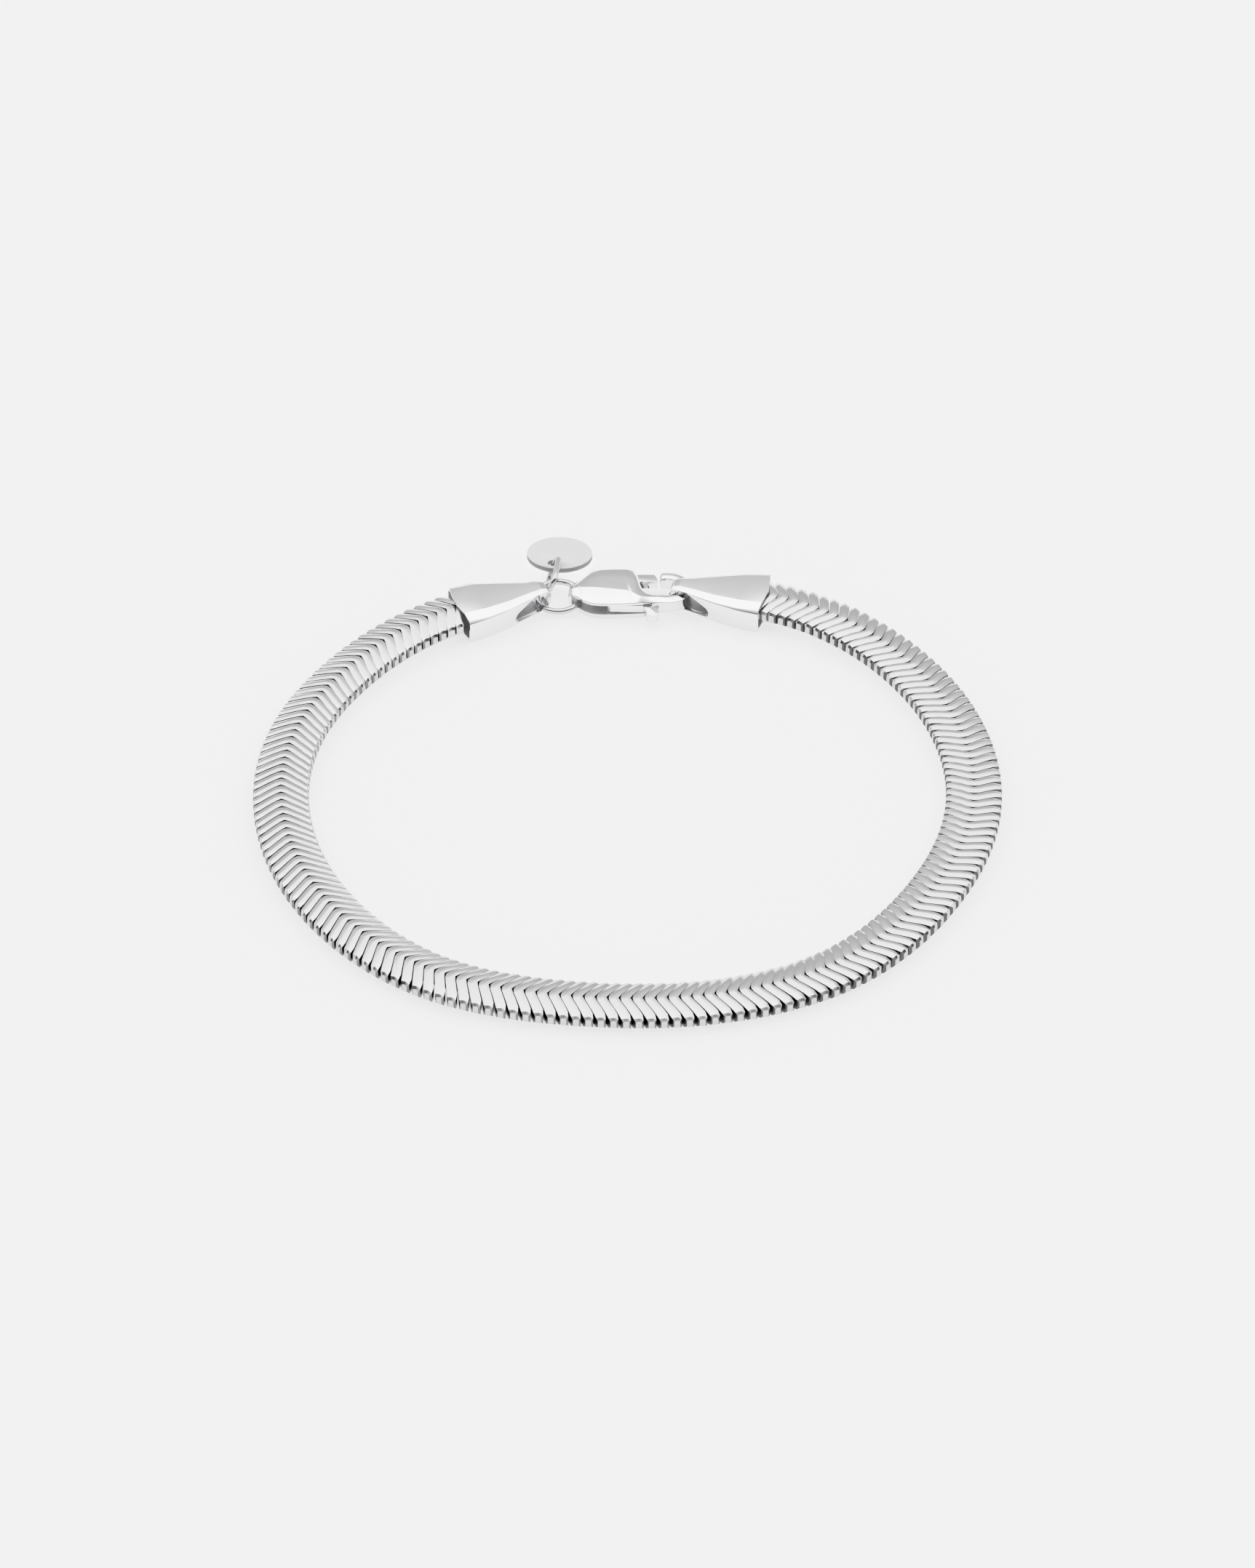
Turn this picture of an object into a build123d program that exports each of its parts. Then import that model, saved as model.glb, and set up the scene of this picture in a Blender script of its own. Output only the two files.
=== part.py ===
from build123d import *
import os
from math import asin, cos, degrees, radians, sin, tan

# Herringbone chain bracelet, lying flat and closed.
# Units are millimetres, +Z up, with the surface that it lies on at Z = 0.
# It is drawn round the middle of the wrist opening, with the clasp at the back (+Y),
# and at the end all of it is moved so that the origin is under the middle of its box.

# Chain: a ribbon of nested V-shaped links, wider than it is thick
chain_width = 4.7
chain_edge_height = 1.04
chain_ridge_height = 1.7
link_pitch = 0.97
link_gap = 0.255
link_wall = 0.29
link_clearance = 0.14
link_side_play = 0.10
tongue_reach = 0.20
socket_spare = 0.26
chevron_angle = 29.0
apex_width = 0.35
edge_bevel = 0.35
edge_bevel_drop = 0.27
lift_length = 18.0

# The loop, measured between the chain's middle lines, from side to side and from front to back
loop_width = 58.0
loop_length = 58.0

# The chain's middle line between the two caps, clockwise from the right one: the shape it lies in.
# Points are shares of half the loop's width and half its length.
chain_route = [
    (0.762, 0.652),
    (0.966, 0.272),
    (0.997, -0.141),
    (0.866, -0.517),
    (0.576, -0.855),
    (0.238, -0.986),
    (-0.152, -0.993),
    (-0.538, -0.883),
    (-0.855, -0.569),
    (-0.993, -0.207),
    (-0.986, 0.200),
    (-0.797, 0.583),
]

# End caps: tapered hollow shells with a wide mouth for the chain and a folded tip with an eye
cap_length = 8.5
cap_mouth_width = 6.1
cap_height = 2.7
cap_wall = 0.28
cap_tip_radius = 0.85
cap_lower_edge = 0.25
mouth_arch = 0.4
eye_length = 3.3
eye_low_end_height = 0.9
cap_right_angle = -11.5
cap_left_angle = 20.5
chain_start = 0.1
chain_end = 0.7

# Sections of a cap from mouth to tip: shares of its length, of its width and of its height, and
# the flat top's share of that section's width
cap_sections = [
    {"along": 0.00, "width": 1.00, "height": 1.00, "flat": 0.67},
    {"along": 0.25, "width": 0.90, "height": 0.95, "flat": 0.67},
    {"along": 0.50, "width": 0.69, "height": 0.90, "flat": 0.64},
    {"along": 0.77, "width": 0.42, "height": 0.86, "flat": 0.57},
    {"along": 1.00, "width": 0.25, "height": 0.85, "flat": 0.50},
]
cap_bevel_share = 0.93
cap_bevel_drop = 0.55
cap_shoulder_drop = 0.95

# Rings
ring_wire = 0.55
ring_inside = 3.3
eye_slack = 0.48
tag_ring_bend = 0.82
tag_ring_run = 2.1
tag_ring_offset = -0.75
tag_ring_angle = -6.0
tag_ring_slack = 0.2

# Lobster clasp: two plates joined at the tail and the far wall, and a hook
clasp_tail_x = -5.4
clasp_back_share = 0.938
ring_step = 0.1
clasp_length = 11.1
body_length = 6.4
body_half_width = 2.35
body_edge_height = 1.70
body_ridge_height = 2.05
ridge_offset = -0.65
plate_thickness = 0.45
slot_height = 0.95
tail_wall = 0.4
tail_round = 0.45
far_wall_start = 1.7
far_wall_end = 4.3
far_wall_thickness = 0.5
hook_width = 1.1
hook_inside_radius = 1.2
hook_height = 1.1
hook_bottom = 0.5
hook_end_reach = 0.65
hook_slack = 0.6

# Lever: gate, hub, arm and thumb knob in one piece on a pin, sprung shut
lever_thickness = 0.74
lever_x = 5.65
lever_y = 1.05
hub_radius = 0.8
arm_root = 1.2
gate_width = 1.05
gate_clearance = 0.12
lever_clearance = 0.1
knob_radius = 0.58
knob_x = 7.5
knob_overhang = 0.95
pin_radius = 0.3
pin_fit = 0.02
lever_bore_clearance = 0.04
pin_depth = 0.2

# Tag: a small disc that rests on its own ring's wire and lies with its far edge on the surface
tag_radius = 2.9
tag_thickness = 0.5
tag_edge_round = 0.12
tag_hole_radius = 0.52
tag_hole_margin = 0.97
tag_side_offset = 0.32
tag_seat_gap = 0.06

os.makedirs("parts", exist_ok=True)


def heading(angle):
    return Vector(cos(radians(angle)), sin(radians(angle)), 0)


def prism(face, direction, low, high):
    """A face drawn through the origin, extruded from low to high along a direction."""
    return Pos(*(Vector(*direction) * low)) * extrude(face, high - low, dir=direction)


def box_between(low, high):
    size = [h - l for l, h in zip(low, high)]
    middle = [(l + h) / 2 for l, h in zip(low, high)]
    return Pos(*middle) * Box(*size)


# Places that follow from the loop and the clasp
clasp_y = clasp_back_share * loop_length / 2
ring_y = clasp_y - ring_step
hook_outside_radius = hook_inside_radius + hook_width
hook_x = clasp_length - hook_outside_radius
clasp_place = Pos(clasp_tail_x, clasp_y, 0)
slot_bottom = plate_thickness
slot_top = slot_bottom + slot_height
slot_middle = (slot_bottom + slot_top) / 2
ring_radius = (ring_inside + ring_wire) / 2
ring_x = clasp_tail_x + tail_wall + eye_slack - ring_inside / 2
ring_centre = Vector(ring_x, ring_y, slot_middle)
hook_centre = Vector(clasp_tail_x + hook_x, clasp_y, 0)

left_direction = heading(cap_left_angle)
left_tip = Vector(ring_x, ring_y, 0) - left_direction * (ring_inside / 2 - eye_slack - cap_wall)
left_mouth = left_tip - left_direction * cap_length
right_direction = heading(cap_right_angle)
right_tip = hook_centre + right_direction * (hook_inside_radius - hook_slack - cap_wall)
right_mouth = right_tip + right_direction * cap_length


# Link: a lens-shaped slice of the ribbon with a V outline in plan. Its front is hollow, and the
# solid tongue at its back reaches into the hollow of the link behind it.
def lens(inset, narrower=0.0):
    """The ribbon's section, made smaller all round: two flat slopes each side and bevelled edges."""
    half = chain_width / 2
    ridge = chain_ridge_height / 2
    slope_end = half - edge_bevel
    edge = chain_edge_height / 2
    corner = edge - edge_bevel_drop
    quarter = [(0, ridge), (slope_end, edge), (half, corner)]
    right = quarter + [(y, -z) for y, z in reversed(quarter)]
    left = [(-y, -z) for y, z in right[1:-1]]
    face = make_face(Polyline(right + left, close=True))
    if inset:
        face = offset(face, -inset, kind=Kind.INTERSECTION)
    return Plane.YZ * (face & Rectangle(2 * (half - inset - narrower), 2 * ridge))


def chevron(front, back):
    """A V-shaped band in plan between two like edges, its blunt apex pointing along +X."""
    half = chain_width
    blunt = apex_width / 2
    lag = (half - blunt) * tan(radians(chevron_angle))
    outline = Polyline(
        (back - lag, half),
        (front - lag, half),
        (front, blunt),
        (front, -blunt),
        (front - lag, -half),
        (back - lag, -half),
        (back, -blunt),
        (back, blunt),
        close=True,
    )
    return prism(make_face(outline), (0, 0, 1), -chain_ridge_height, chain_ridge_height)


def make_link(strip):
    """One link. strip is its length along the chain without the tongue."""
    span = 2 * chain_width
    front = strip / 2
    tongue = link_gap + tongue_reach
    socket = tongue_reach + socket_spare
    body = prism(lens(0), (1, 0, 0), -span, span) & chevron(front, front - strip)
    hollow = prism(lens(link_wall), (1, 0, 0), -span, span) & chevron(span, front - socket)
    inner = prism(lens(link_wall + link_clearance, link_side_play), (1, 0, 0), -span, span)
    return (body - hollow) + (inner & chevron(front - strip + socket / 4, front - strip - tongue))


def rise(distance, length):
    """How far the chain's middle is above where it lies, near a cap that is thicker than it."""
    lift = (cap_height - chain_ridge_height) / 2
    near = max(0.0, 1 - min(distance, length - distance) / lift_length)
    return lift * near * near * (3 - 2 * near)


def make_chain():
    start = right_mouth + right_direction * chain_start
    end = left_mouth + left_direction * chain_end
    points = [Vector(x * loop_width / 2, y * loop_length / 2) for x, y in chain_route]
    route = Spline([start] + points + [end])
    count = round(route.length / link_pitch)
    pitch = route.length / count
    link = make_link(pitch - link_gap)
    links = []
    for index in range(count):
        distance = (index + 0.5) * pitch
        share = distance / route.length
        climb = (rise(distance + 0.1, route.length) - rise(distance - 0.1, route.length)) / 0.2
        forward = route.tangent_at(share) + Vector(0, 0, climb)
        across = Vector(0, 0, 1).cross(forward)
        height = chain_ridge_height / 2 + rise(distance, route.length)
        origin = route.position_at(share) + Vector(0, 0, height)
        links.append(Plane(origin, x_dir=forward, z_dir=forward.cross(across)).location * link)
    return Compound(children=links)


# Caps: drawn with the mouth at the origin and the tip along +X
cap_tip_height = cap_height * cap_sections[-1]["height"]


def cap_section(row, inset):
    """A cap's section: flat underside, upright sides, shoulders, bevels and a flat top."""
    half = cap_mouth_width / 2 * row["width"]
    side = half - inset
    flat = half * row["flat"]
    bevel = half * cap_bevel_share - inset
    slim = row["width"] ** 0.5
    low = inset
    high = cap_height * row["height"] - inset
    bevel_height = high - cap_bevel_drop * slim
    shoulder = high - cap_shoulder_drop * slim
    right = [
        (side - cap_lower_edge, low),
        (side, low + cap_lower_edge),
        (side, shoulder),
        (bevel, bevel_height),
        (flat, high),
    ]
    left = [(-y, z) for y, z in reversed(right)]
    face = make_face(Polyline(right + left, close=True))
    return Pos(row["along"] * cap_length, 0, 0) * (Plane.YZ * face)


def cap_side(inset):
    """A cap's outline seen from the side, rounded at the folded tip."""
    far = cap_length - inset
    low = inset
    high = cap_tip_height - inset
    bend = cap_tip_radius - inset
    start = -2 * mouth_arch
    outline = [
        Line((start, low), (far - bend, low)),
        RadiusArc((far - bend, low), (far, low + bend), -bend),
        Line((far, low + bend), (far, high - bend)),
        RadiusArc((far, high - bend), (far - bend, high), -bend),
        Line((far - bend, high), (far - bend, cap_height)),
        Line((far - bend, cap_height), (start, cap_height)),
        Line((start, cap_height), (start, low)),
    ]
    return prism(Plane.XZ * make_face(Wire(outline)), (0, 1, 0), -cap_mouth_width, cap_mouth_width)


def cap_eye():
    """The teardrop opening through the sides at the tip, low and narrow towards the mouth."""
    near = cap_length - cap_wall
    low = cap_wall
    high = cap_tip_height - cap_wall
    bend = cap_tip_radius - cap_wall
    end = cap_length - cap_wall - eye_length
    small = eye_low_end_height / 2
    outline = [
        Line((end + small, low), (near - bend, low)),
        RadiusArc((near - bend, low), (near, low + bend), -bend),
        Line((near, low + bend), (near, high - bend)),
        RadiusArc((near, high - bend), (near - bend, high), -bend),
        Line((near - bend, high), (near - eye_length / 2, high)),
        Line((near - eye_length / 2, high), (end, low + 2 * small)),
        ThreePointArc((end, low + 2 * small), (end - small / 4, low + small), (end + small, low)),
    ]
    return prism(Plane.XZ * make_face(Wire(outline)), (0, 1, 0), -cap_mouth_width, cap_mouth_width)


def cap_body(inset):
    first = dict(cap_sections[0], along=-mouth_arch / cap_length)
    rows = [first] + cap_sections[1:]
    return loft([cap_section(row, inset) for row in rows]) & cap_side(inset)


def make_cap():
    half = cap_mouth_width / 2
    arch_radius = (half**2 + mouth_arch**2) / (2 * mouth_arch)
    arch = Pos(arch_radius - mouth_arch, 0, cap_height / 2) * Cylinder(arch_radius, 2 * cap_height)
    keep = arch + box_between((half, -half, 0), (cap_length + half, half, cap_height))
    return (cap_body(0) & keep) - cap_body(cap_wall) - cap_eye()


# Clasp: drawn with the middle of its tail at the origin and the hook along +X
def body_plan():
    """The plates' outline, with points as shares of the body's length and half width."""
    def at(along, across):
        return (along * body_length, across * body_half_width)

    arm_start = hook_x - hook_inside_radius
    far = [at(0.05, 0.24), at(0.14, 0.30), at(0.23, 0.60), at(0.36, 0.88), at(0.52, 0.98), at(0.80, 1)]
    corner = at(0.985, 0.60)
    right = [corner, at(1.0, 0.08), (arm_start - 0.5, -0.65 * hook_inside_radius)]
    right.append((arm_start + 0.5, -hook_inside_radius))
    low = (arm_start + 0.5, -hook_outside_radius)
    near = [at(0.52, -1), at(0.34, -0.90), at(0.20, -0.60), at(0.12, -0.40), at(0.05, -0.34)]
    outline = [
        Line(at(0, -0.26), at(0, 0.16)),
        Line(at(0, 0.16), far[0]),
        Spline(far, tangents=[(1, 0.3), (1, 0)]),
        Spline([far[-1], corner], tangents=[(1, 0), (0.1, -1)]),
        Spline(right, tangents=[(0.1, -1), (1, 0)]),
        Line(right[-1], low),
        Line(low, near[0]),
        Spline(near, tangents=[(-1, 0), (-1, 0.1)]),
        Line(near[-1], at(0, -0.26)),
    ]
    return make_face(Wire(outline))


def body_roof():
    """The body's section across: flat below, with a ridge nearer to the near side on top."""
    far = 1.2 * body_half_width
    fall_far = (body_ridge_height - body_edge_height) / (body_half_width - ridge_offset)
    fall_near = (body_ridge_height - body_edge_height) / (body_half_width + ridge_offset)
    outline = Polyline(
        (-far, 0),
        (far, 0),
        (far, body_ridge_height - fall_far * (far - ridge_offset)),
        (ridge_offset, body_ridge_height),
        (-far, body_ridge_height - fall_near * (far + ridge_offset)),
        close=True,
    )
    return prism(Plane.YZ * make_face(outline), (1, 0, 0), -1, clasp_length)


def body_side():
    """The body seen from the side, folded round at the tail."""
    high = body_ridge_height
    outline = [
        Line((tail_round, 0), (clasp_length, 0)),
        Line((clasp_length, 0), (clasp_length, high)),
        Line((clasp_length, high), (2 * tail_round, high)),
        Line((2 * tail_round, high), (0, high - 2 * tail_round)),
        Line((0, high - 2 * tail_round), (0, tail_round)),
        RadiusArc((0, tail_round), (tail_round, 0), -tail_round),
    ]
    side = Plane.XZ * make_face(Wire(outline))
    return prism(side, (0, 1, 0), -clasp_length, clasp_length)


def make_hook():
    """The near arm, the bend and the far end that the gate closes on."""
    centre = (hook_x, 0)
    inner = hook_inside_radius
    outer = hook_outside_radius
    bend = Circle(outer) - Circle(inner)
    bend = Pos(*centre) * (bend & (Pos(outer, 0) * Rectangle(2 * outer, 2 * outer)))
    arm_length = hook_x - body_length + hook_width / 2
    middle = (inner + outer) / 2
    arm = Pos(hook_x - arm_length / 2, -middle) * Rectangle(arm_length, hook_width)
    end = Pos(hook_x - hook_end_reach / 2, middle) * Rectangle(hook_end_reach, hook_width)
    end = fillet(end.vertices().group_by(Axis.X)[0], hook_width * 0.4)
    plan = bend + arm + end
    return prism(plan, (0, 0, 1), hook_bottom, hook_bottom + hook_height)


def make_clasp_body():
    plates = prism(body_plan(), (0, 0, 1), 0, body_ridge_height) & body_roof() & body_side()
    across = 2 * body_half_width
    right = hook_x - hook_outside_radius + hook_width
    slot = box_between((tail_wall, -across, slot_bottom), (right, across, slot_top))
    inside = body_half_width - far_wall_thickness
    wall = box_between((far_wall_start, inside, 0), (far_wall_end, across, slot_top))
    slot = slot - wall
    socket = Cylinder(pin_radius + pin_fit, slot_height + 2 * pin_depth + 2 * pin_fit)
    body = (plates + make_hook()) - slot - Pos(lever_x, lever_y, slot_middle) * socket
    return clasp_place * body


def make_lever():
    """The lever, drawn in the clasp's own place."""
    pivot = (lever_x, lever_y)
    near_edge = -body_half_width
    right = hook_x - hook_outside_radius + hook_width - lever_clearance
    gate_far = (hook_inside_radius + hook_outside_radius + gate_width) / 2
    gate_near = gate_far - gate_width
    gate_reach = hook_x - hook_end_reach - gate_clearance - lever_x
    gate = Polyline(
        (lever_x - hub_radius, lever_y),
        (lever_x, lever_y - 0.6 * hub_radius),
        (lever_x + hub_radius, gate_near),
        (lever_x + 2 * gate_reach, gate_near),
        (lever_x + 2 * gate_reach, gate_far),
        (lever_x, gate_far),
        close=True,
    )
    gate_plan = make_face(gate) & (Pos(*pivot) * Circle(gate_reach))
    arm = Polyline(
        (lever_x - hub_radius, lever_y),
        (lever_x - 1.3 * hub_radius, lever_y - arm_root),
        (lever_x - 2.6 * hub_radius, near_edge + 0.7),
        (lever_x - 2.6 * hub_radius, near_edge + 0.25),
        (lever_x - 2.3 * hub_radius, near_edge),
        (right, near_edge),
        (right, near_edge + 0.9),
        (lever_x + 0.35 * hub_radius, lever_y - arm_root),
        (lever_x + hub_radius, lever_y),
        close=True,
    )
    knob_y = near_edge - knob_overhang
    neck = Polyline(
        (right - 1.0, near_edge + 0.4),
        (right, near_edge + 0.4),
        (right, near_edge),
        (knob_x, knob_y + 0.3 * knob_radius),
        (knob_x - 0.8 * knob_radius, knob_y),
        close=True,
    )
    plan = gate_plan + make_face(arm) + make_face(neck) + Pos(*pivot) * Circle(hub_radius)
    plan = plan + Pos(knob_x, knob_y) * Circle(knob_radius)
    plan = plan - Pos(*pivot) * Circle(pin_radius + lever_bore_clearance)
    half = lever_thickness / 2
    return clasp_place * prism(plan, (0, 0, 1), slot_middle - half, slot_middle + half)


def make_pin():
    length = slot_height + 2 * pin_depth
    return clasp_place * Pos(lever_x, lever_y, slot_middle) * Cylinder(pin_radius, length)


# Rings and tag
def make_jump_ring():
    return Pos(*ring_centre) * Torus(ring_radius, ring_wire / 2)


def make_tag_and_ring():
    """The tag's ring stands on the surface, round the jump ring's far side and through the tag.

    Both are drawn with the ring along +Y from its near bend, then put on the jump ring.
    """
    bend = tag_ring_bend
    run = tag_ring_run
    path = [
        Line((0, bend), (run, bend)),
        ThreePointArc((run, bend), (run + bend, 0), (run, -bend)),
        Line((run, -bend), (0, -bend)),
        ThreePointArc((0, -bend), (-bend, 0), (0, bend)),
    ]
    path = Plane.YZ * Wire(path)
    ring = sweep(Plane(path @ 0, z_dir=path % 0) * Circle(ring_wire / 2), path=path)

    ring_height = bend + ring_wire / 2
    seat_height = ring_wire + tag_seat_gap
    hole_height = seat_height + tag_thickness / 2
    wire_y = run + (bend**2 - (ring_height - hole_height) ** 2) ** 0.5
    hole_to_centre = tag_radius - tag_hole_margin
    tilt = asin(seat_height / (hole_to_centre + tag_radius))
    hole_back = (hole_to_centre**2 - tag_side_offset**2) ** 0.5
    disc = Cylinder(tag_radius, tag_thickness)
    disc = fillet(disc.edges().filter_by(GeomType.CIRCLE), tag_edge_round)
    disc = disc - Pos(-tag_side_offset, -hole_back, 0) * Cylinder(tag_hole_radius, 2 * tag_thickness)
    disc = Pos(tag_side_offset, hole_back, 0) * disc
    disc = Pos(0, wire_y, hole_height - ring_height) * Rot(-degrees(tilt), 0, 0) * disc

    reach = (ring_radius**2 - tag_ring_offset**2) ** 0.5 - tag_ring_slack
    place = Pos(ring_x + tag_ring_offset, ring_y + reach, ring_height) * Rot(0, 0, tag_ring_angle)
    return place * disc, place * ring


tag, tag_ring = make_tag_and_ring()
cap = make_cap()
nodes = {
    "chain": make_chain(),
    "end_cap_left": Pos(*left_mouth) * Rot(0, 0, cap_left_angle) * cap,
    "end_cap_right": Pos(*right_mouth) * Rot(0, 0, cap_right_angle + 180) * cap,
    "jump_ring": make_jump_ring(),
    "clasp_body": make_clasp_body(),
    "clasp_lever": make_lever(),
    "clasp_pin": make_pin(),
    "tag": tag,
    "tag_ring": tag_ring,
}

whole = Compound(children=[Compound(piece.wrapped) for piece in nodes.values()]).bounding_box()
to_origin = Pos(-(whole.min.X + whole.max.X) / 2, -(whole.min.Y + whole.max.Y) / 2, -whole.min.Z)
for name, piece in nodes.items():
    export_step(to_origin * piece, f"parts/{name}.step", write_pcurves=False)
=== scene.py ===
import math
import random

import bmesh
import bpy
import numpy as np
from mathutils import Matrix, Vector


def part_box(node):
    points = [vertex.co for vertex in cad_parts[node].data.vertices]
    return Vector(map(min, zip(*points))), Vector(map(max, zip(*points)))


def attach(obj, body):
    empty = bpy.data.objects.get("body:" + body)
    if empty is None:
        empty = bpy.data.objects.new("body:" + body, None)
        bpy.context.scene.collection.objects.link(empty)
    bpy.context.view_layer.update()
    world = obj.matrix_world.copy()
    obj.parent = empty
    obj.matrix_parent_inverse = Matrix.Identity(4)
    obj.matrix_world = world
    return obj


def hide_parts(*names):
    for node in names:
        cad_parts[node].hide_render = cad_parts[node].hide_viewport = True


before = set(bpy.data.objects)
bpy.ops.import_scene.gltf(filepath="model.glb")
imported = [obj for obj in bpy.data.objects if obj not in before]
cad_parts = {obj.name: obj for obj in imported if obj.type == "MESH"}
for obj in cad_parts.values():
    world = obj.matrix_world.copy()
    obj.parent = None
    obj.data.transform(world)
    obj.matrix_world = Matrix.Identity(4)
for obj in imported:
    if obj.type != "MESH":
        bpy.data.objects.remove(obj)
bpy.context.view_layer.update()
MM = 0.001


# Camera. The photograph looks down at the bracelet as it lies closed, from the front and well
# above it, through a long lens. It aims at the middle of the wrist opening, which is worked out
# from the clasp's rivet, the one place that the loop was laid out from.
RIVET_FROM_LOOP = Vector((0.25, 28.25, 0)) * MM
RIBBON_MIDDLE_HEIGHT = 0.85 * MM
CAMERA_DISTANCE = 516.9 * MM
CAMERA_ELEVATION = math.radians(38)
FOCAL_LENGTH_PX = 8400
PHOTO_HEIGHT_PX = 2156
SENSOR_MM = 36
AIM_LEFT = 0.074 * MM

rivet_low, rivet_high = (Vector(corner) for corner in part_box("clasp_pin"))
rivet_middle = (rivet_low + rivet_high) / 2
loop_middle = Vector((rivet_middle.x, rivet_middle.y, 0)) - RIVET_FROM_LOOP
loop_middle.z = RIBBON_MIDDLE_HEIGHT
aim = loop_middle - Vector((AIM_LEFT, 0, 0))
back_off = Vector((0, -math.cos(CAMERA_ELEVATION), math.sin(CAMERA_ELEVATION))) * CAMERA_DISTANCE
bpy.ops.object.camera_add(location=aim + back_off)
camera = bpy.context.object
camera.name = "photo_camera"
camera.rotation_euler = (math.pi / 2 - CAMERA_ELEVATION, 0, 0)
camera.data.sensor_width = SENSOR_MM
camera.data.lens = SENSOR_MM * FOCAL_LENGTH_PX / PHOTO_HEIGHT_PX
camera.data.clip_start = 0.01
camera.data.clip_end = 20
bpy.context.scene.camera = camera


# Chain. 160 V-shaped links of polished silver sheet, nested point to back so that they bend flat
# like a ribbon. Each is stamped and hollow in front, and its neighbour's tongue holds it there.
# The first and the last are pressed into the caps.
LINK_PITCH = 0.969 * MM
LINK_CAD_GAP = 0.255 * MM
LINK_LENGTH = 0.94 * MM
LINK_HALF_WIDTH = 2.35 * MM
LINK_BACK = -LINK_LENGTH / 2
RIDGE_HALF_HEIGHT = 0.90 * MM
# Rows of a link from its middle outwards: across, how far it lags behind the point, height above
# and below the middle plane, the share of its length that it keeps, and how far its back edge
# moves forward and sinks
LINK_ROWS = [
    (0.00, 0.00, 0.900, 0.85, 1.00, 0.15, 0.00),
    (0.42, 0.09, 0.880, 0.82, 1.00, 0.02, 0.00),
    (1.10, 0.49, 0.780, 0.74, 1.00, 0.00, 0.00),
    (1.75, 0.87, 0.655, 0.64, 1.00, 0.00, 0.03),
    (2.21, 1.05, 0.505, 0.54, 0.84, 0.01, 0.08),
    (2.35, 1.06, 0.300, 0.32, 0.52, 0.02, 0.05),
]
# The rolled top of a link, from its back edge to its front: the share of its length, and the drop
LINK_ROLL = [
    (-0.50, 0.070),
    (-0.15, 0.000),
    (0.08, 0.000),
    (0.50, 0.085),
]
LINK_SMOOTHING = math.radians(22)
LINK_LOOSENESS = math.radians(0.5)
LOOSENESS_SEED = 11
# Points nearer than SAME_PLACE count as one when they are picked, and nearer than WELD they merge
SAME_PLACE = 0.002 * MM
WELD = 0.0001 * MM
SILVER = (0.93, 0.93, 0.935, 1)
CHAIN_SILVER = (0.85, 0.85, 0.86, 1)
# The dark silver that painted shade mixes towards
SHADOWED_SILVER = (0.03, 0.03, 0.033, 1)
CLOUD_RANGE = (0.35, 0.70)
RUB_STRETCH = (1, 0.12, 1)
RUB_DIRECTION = (0, 0, 0.6)
RUB_DEPTH = 0.02 * MM


def start_piece():
    """Leaves object mode with nothing selected, ready for a new primitive."""
    if bpy.context.object and bpy.context.object.mode != "OBJECT":
        bpy.ops.object.mode_set(mode="OBJECT")
    bpy.ops.object.select_all(action="DESELECT")


def pick(piece):
    """Selects one piece alone, in object mode."""
    start_piece()
    piece.select_set(True)
    bpy.context.view_layer.objects.active = piece


def clear_selection(piece):
    bpy.ops.object.mode_set(mode="OBJECT")
    for parts in (piece.data.polygons, piece.data.edges, piece.data.vertices):
        for part in parts:
            part.select = False


def select_vertices(piece, wanted):
    """In edit mode, selects the vertices whose place makes wanted true."""
    clear_selection(piece)
    for vertex in piece.data.vertices:
        vertex.select = wanted(vertex.co)
    bpy.context.tool_settings.mesh_select_mode = (True, False, False)
    bpy.ops.object.mode_set(mode="EDIT")


def select_edges(piece, wanted):
    """In edit mode, selects the edges whose two ends make wanted true."""
    clear_selection(piece)
    points = piece.data.vertices
    for edge in piece.data.edges:
        edge.select = wanted(points[edge.vertices[0]].co, points[edge.vertices[1]].co)
    bpy.context.tool_settings.mesh_select_mode = (False, True, False)
    bpy.ops.object.mode_set(mode="EDIT")


def select_faces(piece, wanted):
    """In edit mode, selects the faces whose middle and normal make wanted true."""
    clear_selection(piece)
    for polygon in piece.data.polygons:
        polygon.select = wanted(polygon.center, polygon.normal)
    bpy.context.tool_settings.mesh_select_mode = (False, False, True)
    bpy.ops.object.mode_set(mode="EDIT")


def near_to(a, b):
    return abs(a - b) < SAME_PLACE


def shift(piece, wanted, by):
    """Moves the vertices whose place makes wanted true, and stays in edit mode."""
    select_vertices(piece, wanted)
    bpy.ops.transform.translate(value=by)


def add_block(name, low, high):
    """A block between two corners, in edit mode."""
    start_piece()
    middle = [(a + b) / 2 for a, b in zip(low, high)]
    size = [b - a for a, b in zip(low, high)]
    bpy.ops.mesh.primitive_cube_add(size=1, location=middle, scale=size)
    block = bpy.context.object
    block.name = name
    bpy.ops.object.transform_apply(location=True, rotation=True, scale=True)
    bpy.ops.object.mode_set(mode="EDIT")
    return block


def cut_across(axis, places):
    """Cuts all of the mesh in edit mode by planes at right angles to an axis."""
    for place in places:
        bpy.ops.mesh.select_all(action="SELECT")
        point, normal = [0, 0, 0], [0, 0, 0]
        point[axis], normal[axis] = place, 1
        bpy.ops.mesh.bisect(plane_co=point, plane_no=normal)


def copy_of(piece, name):
    """A copy with its own mesh."""
    copy = piece.copy()
    copy.data = piece.data.copy()
    copy.name = name
    bpy.context.collection.objects.link(copy)
    return copy


def cover(piece, *materials):
    """Gives a piece these materials and no others."""
    piece.data.materials.clear()
    for material in materials:
        piece.data.materials.append(material)


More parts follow.
